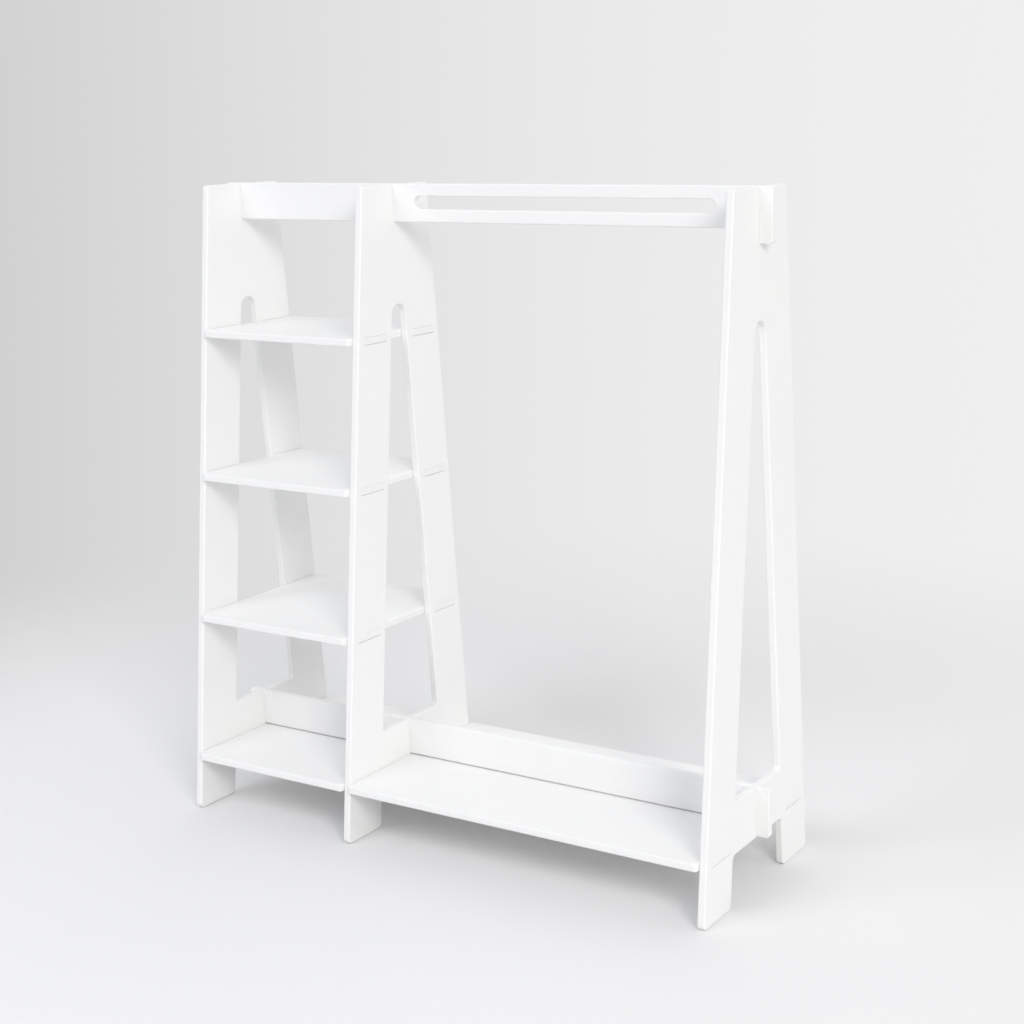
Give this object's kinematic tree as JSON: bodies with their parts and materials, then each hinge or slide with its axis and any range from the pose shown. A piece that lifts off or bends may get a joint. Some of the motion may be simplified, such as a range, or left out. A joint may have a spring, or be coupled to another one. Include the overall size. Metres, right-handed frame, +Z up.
{
  "type": "clothing rack",
  "caption": "Free-standing children's clothing rack of slot-together white sheet: A-shaped panels, a bay of shelves and an open hanging bay under a slotted rail",
  "frame": {"origin": "on the floor, under the middle of the rack", "axes": "X along the rack with the hanging bay at +X, -Y is the front, +Z is up"},
  "size_m": [0.959, 0.3446, 1.0013],
  "materials": {
    "white_paint": "satin white paint on smooth sheet wood, edges rounded over"
  },
  "bodies": {
    "frame": {"left_panel": "white_paint", "divider_panel": "white_paint", "right_panel": "white_paint", "upper_shelf": "white_paint", "middle_shelf": "white_paint", "lower_shelf": "white_paint", "left_bottom_shelf": "white_paint", "right_bottom_shelf": "white_paint"},
    "rail": {"hanging_rail": "white_paint"},
    "board": {"back_board": "white_paint"}
  },
  "joints": [
    {"name": "rail_lift", "type": "slide", "parent": "frame", "child": "rail", "axis": [0, 0, 1], "range_m": [0, 0.08]},
    {"name": "board_lift", "type": "slide", "parent": "frame", "child": "board", "axis": [0, 0, 1], "range_m": [0, 0.08]}
  ]
}
